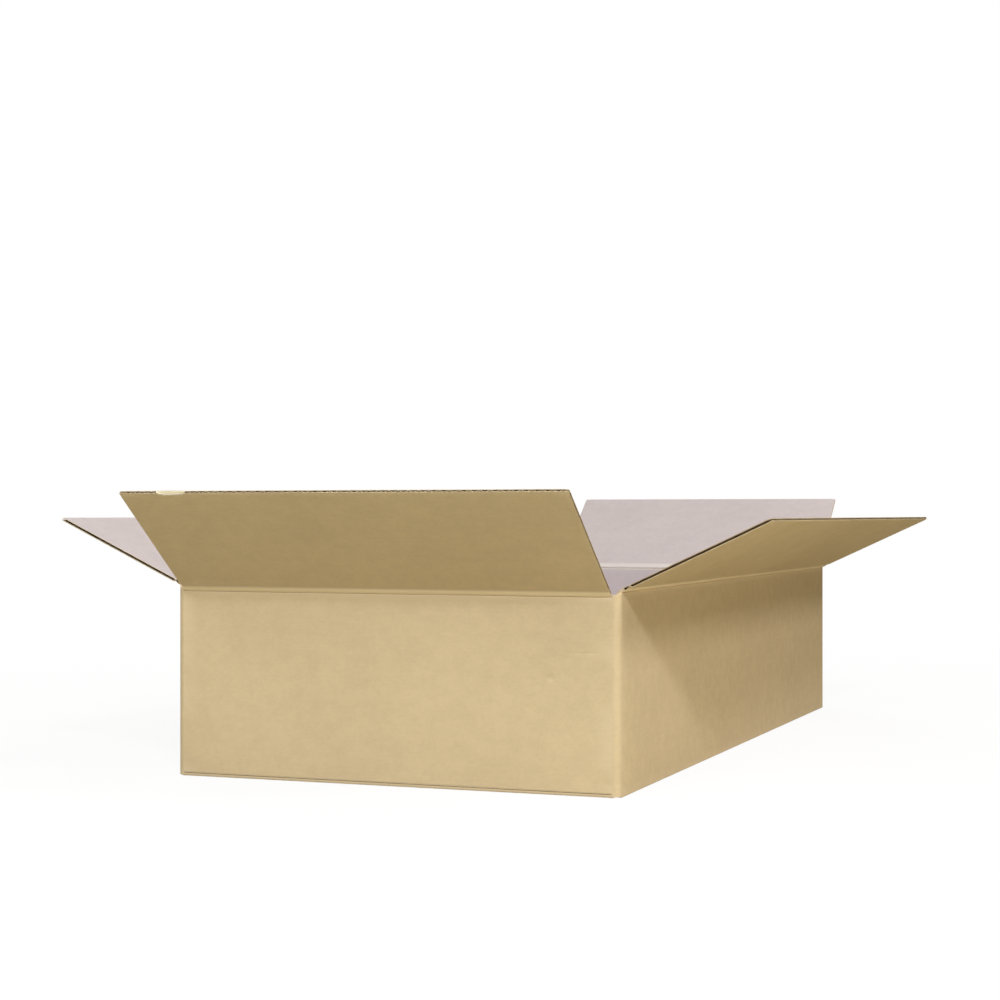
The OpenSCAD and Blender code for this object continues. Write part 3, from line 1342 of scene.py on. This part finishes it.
@dataclass
class Measures:
    """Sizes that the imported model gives.

    Attributes:
        half_w: Half the outer width of the walls.
        half_l: Half the outer length of the walls.
        creases: Height of each body's crease.
        thick: Thickness of the board.
        depth: Depth of the top flaps.
        leans: Lean of each body's flap from upright, in radians.
        spans: Where each body's flap begins and ends along its side.
    """

    half_w: float
    half_l: float
    creases: dict[str, float]
    thick: float
    depth: float
    leans: dict[str, float]
    spans: dict[str, tuple[float, float]]

    @staticmethod
    def lean_and_depth(out: float, rise: float, radius: float) -> tuple[float, float]:
        """Lean and depth of a flap from how far out and up it reaches from its crease.

        The flap's farthest point is its outer corner, out = d sin + r cos, and its
        highest one its inner corner, rise = d cos + r sin. Turning by steps of
        lean = atan2(out - r cos, rise - r sin) settles both.
        """
        lean = math.atan2(out, rise)
        for _ in range(60):
            lean = math.atan2(out - radius * math.cos(lean), rise - radius * math.sin(lean))
        depth = math.hypot(out - radius * math.cos(lean), rise - radius * math.sin(lean))
        return lean, depth

    @classmethod
    def from_frame(cls, frame: dict) -> Measures:
        """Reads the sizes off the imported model's boxes and joints."""
        low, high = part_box("box_body")
        half_w, half_l = high.x, high.y
        heights = {row["child"]: row["pos_m"][2] for row in frame["joints"]}
        leans: dict[str, float] = {}
        spans: dict[str, tuple[float, float]] = {}
        depth = 0.0
        thick = 0.0
        for body in ("front", "back", "left", "right"):
            low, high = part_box(f"{body}_flap")
            radius = heights[body] - low.z
            thick = 2 * radius
            out = {"front": -low.y - half_l, "back": high.y - half_l,
                   "left": -low.x - half_w, "right": high.x - half_w}[body]
            leans[body], depth = cls.lean_and_depth(out, high.z - heights[body], radius)
            spans[body] = {"front": (low.x, high.x), "back": (-high.x, -low.x),
                           "left": (-high.y, -low.y), "right": (low.y, high.y)}[body]
        return cls(half_w, half_l, heights, thick, depth, leans, spans)


@dataclass
class Studio:
    """Floor, lights and camera, on the photograph's viewing angle."""

    place: tuple[float, float, float] = (0.5012, -1.4258, 0.16927)
    yaw: float = 20.79
    lens: float = 71.24
    shift: float = 0.01428
    target: tuple[float, float, float] = (0.0, 0.0, 0.09)

    def camera(self) -> None:
        """Level camera at the photograph's place."""
        data = bpy.data.cameras.new("camera")
        data.sensor_width = 36.0
        data.lens = self.lens
        data.shift_y = self.shift
        data.clip_end = 60.0
        obj = bpy.data.objects.new("camera", data)
        obj.location = self.place
        obj.rotation_euler = (math.radians(90.0), 0.0, math.radians(self.yaw))
        bpy.context.collection.objects.link(obj)
        bpy.context.scene.camera = obj

    def lamp(self, name: str, azimuth: float, elevation: float, distance: float, size: float, watts: float,
             colour: tuple[float, float, float]) -> None:
        """A square soft light that faces the box.

        Args:
            name: Name of the light.
            azimuth: Degrees from -Y towards +X.
            elevation: Degrees above the floor.
            distance: Distance from the box's middle.
            size: Side of the square.
            watts: Power.
            colour: Colour of the light.
        """
        a, e = math.radians(azimuth), math.radians(elevation)
        away = np.array([math.sin(a) * math.cos(e), -math.cos(a) * math.cos(e), math.sin(e)])
        data = bpy.data.lights.new(name, "AREA")
        data.size = size
        data.energy = watts
        data.color = colour
        obj = bpy.data.objects.new(name, data)
        obj.location = tuple(np.array(self.target) + away * distance)
        obj.rotation_euler = (math.radians(90.0 - elevation), 0.0, a)
        obj.visible_camera = False
        bpy.context.collection.objects.link(obj)

    def lights(self) -> None:
        """Lights from the camera's side and the right, high and low, and one from behind."""
        lamps = (
            ("key_light", 28.0, 32.0, 3.0, 0.25, 39.5, (0.85, 0.90, 1.0)),
            ("front_light", -12.0, 38.0, 2.8, 1.6, 38.0, (1.0, 1.0, 0.91)),
            ("low_front_light", 0.0, 2.0, 1.2, 0.5, 1.4, (0.96, 1.0, 0.94)),
            ("side_light", 86.0, 38.0, 2.8, 0.45, 26.0, (1.0, 0.99, 0.98)),
            ("high_side_light", 80.0, 60.0, 2.6, 1.4, 21.3, (1.0, 0.98, 0.69)),
            ("low_side_light", 67.0, 4.0, 1.1, 0.5, 2.1, (1.0, 0.91, 0.73)),
            ("back_light", 222.0, 24.0, 3.0, 1.6, 46.0, (1.0, 1.0, 1.0)),
        )
        for lamp in lamps:
            self.lamp(*lamp)

    def world(self) -> None:
        """White for the camera, plain soft light for the rest."""
        world = bpy.data.worlds.new("studio")
        world.use_nodes = True
        tree = world.node_tree
        tree.nodes.clear()
        output = tree.nodes.new("ShaderNodeOutputWorld")
        mix = tree.nodes.new("ShaderNodeMixShader")
        soft = tree.nodes.new("ShaderNodeBackground")
        white = tree.nodes.new("ShaderNodeBackground")
        path = tree.nodes.new("ShaderNodeLightPath")
        soft.inputs["Color"].default_value = (1.0, 0.97, 0.92, 1.0)
        soft.inputs["Strength"].default_value = 0.02
        white.inputs["Color"].default_value = (1.0, 1.0, 1.0, 1.0)
        white.inputs["Strength"].default_value = 1.0
        tree.links.new(path.outputs["Is Camera Ray"], mix.inputs["Fac"])
        tree.links.new(soft.outputs["Background"], mix.inputs[1])
        tree.links.new(white.outputs["Background"], mix.inputs[2])
        tree.links.new(mix.outputs["Shader"], output.inputs["Surface"])
        bpy.context.scene.world = world

    def floor(self) -> None:
        """Wide white floor that keeps a faint shadow of the box."""
        reach = 14.0
        mesh = bpy.data.meshes.new("floor")
        corners = [(-reach, -reach, 0.0), (reach, -reach, 0.0), (reach, reach, 0.0), (-reach, reach, 0.0)]
        mesh.from_pydata(corners, [], [(0, 1, 2, 3)])
        obj = bpy.data.objects.new("floor", mesh)
        bpy.context.collection.objects.link(obj)
        make = Recipe("white_floor")
        path = make.tree.nodes.new("ShaderNodeLightPath")
        seen = path.outputs["Is Camera Ray"]
        colour = make.blend(seen, (0.48, 0.44, 0.34, 1.0), (0.90, 0.90, 0.90, 1.0))
        make.feed(make.shader.inputs["Base Color"], colour)
        make.shader.inputs["Roughness"].default_value = 0.95
        make.shader.inputs["Specular IOR Level"].default_value = 0.0
        glow = make.tree.nodes.new("ShaderNodeEmission")
        glow.inputs["Color"].default_value = (1.0, 1.0, 1.0, 1.0)
        glow.inputs["Strength"].default_value = 1.0
        mix = make.tree.nodes.new("ShaderNodeMixShader")
        place = make.tree.nodes.new("ShaderNodeTexCoord")
        away = make.tree.nodes.new("ShaderNodeVectorMath")
        away.operation = "LENGTH"
        make.tree.links.new(place.outputs["Object"], away.inputs[0])
        fade = make.spread(away.outputs["Value"], 0.3, 1.2, 0.90, 1.0)
        make.tree.links.new(make.math("MULTIPLY", seen, fade), mix.inputs["Fac"])
        make.tree.links.new(make.shader.outputs["BSDF"], mix.inputs[1])
        make.tree.links.new(glow.outputs["Emission"], mix.inputs[2])
        make.tree.links.new(mix.outputs["Shader"], make.output.inputs["Surface"])
        mesh.materials.append(make.material)

    def build(self) -> None:
        """Sets up the whole studio."""
        bpy.context.scene.view_settings.view_transform = "Standard"
        self.camera()
        self.lights()
        self.world()
        self.floor()


def finishes(board: Board) -> list[bpy.types.Material]:
    """Builds the board's five finishes, in the order of Finish.

    Args:
        board: The board, for its flute pitch.

    Returns:
        The materials.
    """
    kraft = LinerFinish(
        "kraft_liner",
        base=srgb(206, 185, 149),
        deep=srgb(187, 167, 134),
        pale=srgb(219, 200, 171),
        # Crease colour: partly stretched paper, partly a painted highlight.
        stretched_and_highlight=srgb(238, 219, 184),
        speck=srgb(160, 134, 97),
        marks=(Mark((706.5, 69.0), (3.4, 2.2), 0.55), Mark((640.0, 96.0), (9.0, 1.4), 0.30),
               Mark((522.0, 40.0), (7.0, 2.0), 0.28), Mark((1196.0, 52.0), (14.0, 1.6), 0.30),
               Mark((1580.0, 60.0), (16.0, 3.0), 0.30), Mark((2010.0, 84.0), (12.0, 2.2), 0.30)),
        dents=(Mark((706.0, 71.0), (4.2, 3.0), 1.5), Mark((727.0, 86.0), (17.0, 1.3), 0.9),
               Mark((694.0, 82.0), (6.0, 1.2), 0.7), Mark((829.0, 85.0), (5.0, 4.0), 1.2),
               Mark((1540.0, 44.0), (6.0, 5.0), 1.2), Mark((2160.0, 70.0), (7.0, 4.0), 1.1)),
    )
    lining = LinerFinish(
        "inner_liner",
        base=srgb(193, 181, 184),
        deep=srgb(179, 168, 171),
        pale=srgb(201, 192, 191),
        # Crease colour on the inner face: partly stretched paper, partly a painted highlight.
        stretched_and_highlight=srgb(205, 196, 194),
        speck=srgb(152, 140, 134),
        ghost=1.3,
    )
    medium = CoreFinish("fluted_medium", srgb(132, 114, 96), srgb(100, 84, 68))
    cut = CoreFinish("cut_paper", srgb(205, 188, 160), srgb(172, 150, 120))
    ply = CoreFinish("torn_ply", srgb(244, 236, 214), srgb(226, 212, 182))
    return [kraft.build(board), lining.build(board), medium.build(), cut.build(), ply.build()]


def main() -> None:
    """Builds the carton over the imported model, then the studio around it."""
    logging.basicConfig(level=logging.INFO, format="%(name)s %(message)s")
    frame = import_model()
    sizes = Measures.from_frame(frame)
    board = Board(thick=sizes.thick)
    log.info("board %.2f mm, flaps %.1f mm deep, leans %s", sizes.thick / MM, sizes.depth / MM,
             {name: round(math.degrees(lean), 1) for name, lean in sizes.leans.items()})
    sides = {
        "front": Side(270.0, sizes.half_l, 0.60),
        "right": Side(0.0, sizes.half_w, 1.05),
        "back": Side(90.0, sizes.half_l, 1.50),
        "left": Side(180.0, sizes.half_w, 1.95),
    }
    materials = finishes(board)
    tub = Tub(board, sizes.half_w, sizes.half_l, sizes.creases["left"], sizes.creases["front"], sides=sides)
    tub.build(materials)
    for body in ("front", "back", "left", "right"):
        start, end = sizes.spans[body]
        tears = ((-109.5 * MM, 9.8 * MM, 2.1 * MM),) if body == "front" else ()
        flap = Flap(body, sides[body], sizes.creases[body], sizes.leans[body],
                    start + END_GAP, end - END_GAP, sizes.depth, board, tears=tears)
        flap.build(materials)
    Studio().build()


if __name__ == "__main__":
    main()
